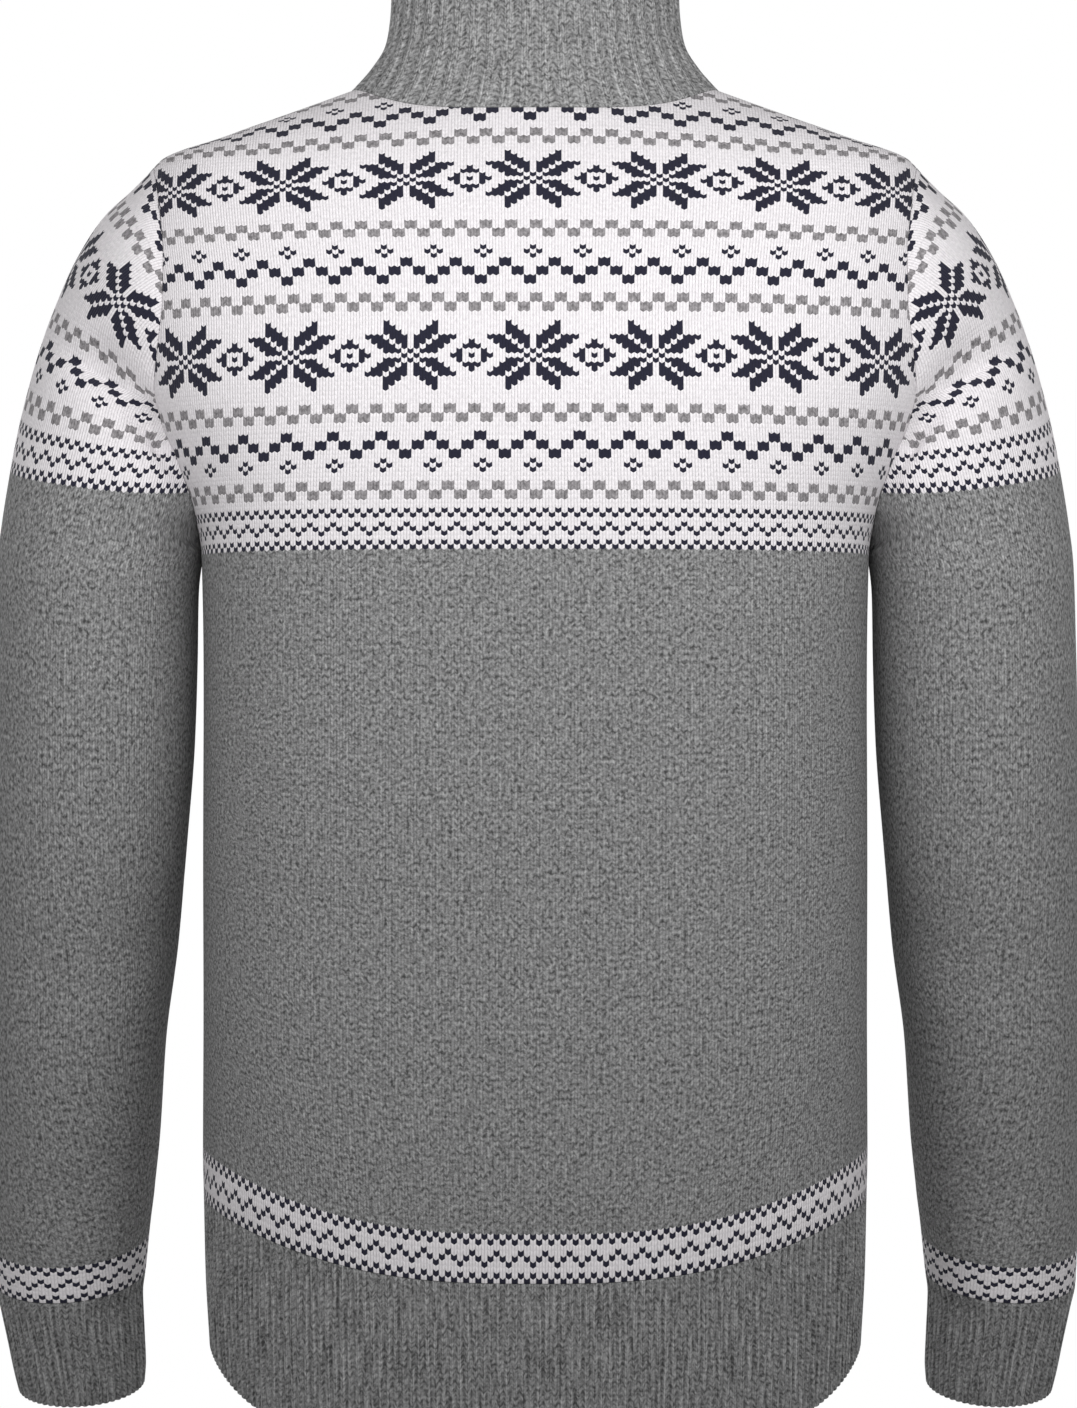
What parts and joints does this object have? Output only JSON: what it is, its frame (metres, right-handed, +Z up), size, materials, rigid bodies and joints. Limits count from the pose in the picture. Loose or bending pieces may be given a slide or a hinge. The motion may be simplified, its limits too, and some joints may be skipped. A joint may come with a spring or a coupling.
{
  "type": "full-zip wool sweater",
  "caption": "Men's full-zip knitted wool sweater with a high ribbed collar, ribbed hem and cuffs, and a Nordic star pattern over the chest and sleeves, filled out as worn.",
  "frame": {"origin": "the wearer's neck: on the middle plane, at the height of the neck points, where the shoulder seams meet the collar", "axes": "+Z up, +Y to the garment's back, so that the wearer faces -Y; +X to the wearer's left"},
  "size_m": [0.6142, 0.2469, 0.8024],
  "materials": {
    "wool": "soft brushed knitted wool, grey melange, with a white, navy and grey star pattern above the chest",
    "rib": "ribbed knitted wool, grey melange",
    "zip_tape": "woven tape, dark grey",
    "zip_metal": "nickel plated, satin"
  },
  "bodies": {
    "garment": {"back_panel": "wool", "collar": "rib", "cuff_left": "rib", "cuff_right": "rib", "front_left": "wool", "front_right": "wool", "hem_rib_back": "rib", "hem_rib_front_left": "rib", "hem_rib_front_right": "rib", "sleeve_left": "wool", "sleeve_right": "wool", "zip_box": "zip_metal", "zip_slider": "zip_metal", "zip_tape_left": "zip_tape", "zip_tape_right": "zip_tape", "zip_teeth_left": "zip_metal", "zip_teeth_right": "zip_metal", "zip_top_stop_left": "zip_metal", "zip_top_stop_right": "zip_metal"},
    "pull": {"zip_pull": "zip_metal"}
  },
  "joints": [
    {"name": "pull_hinge", "type": "hinge", "parent": "garment", "child": "pull", "pos_m": [0, -0.08082, -0.00615], "axis": [-1, 0, 0], "range_deg": [0, 160]}
  ]
}
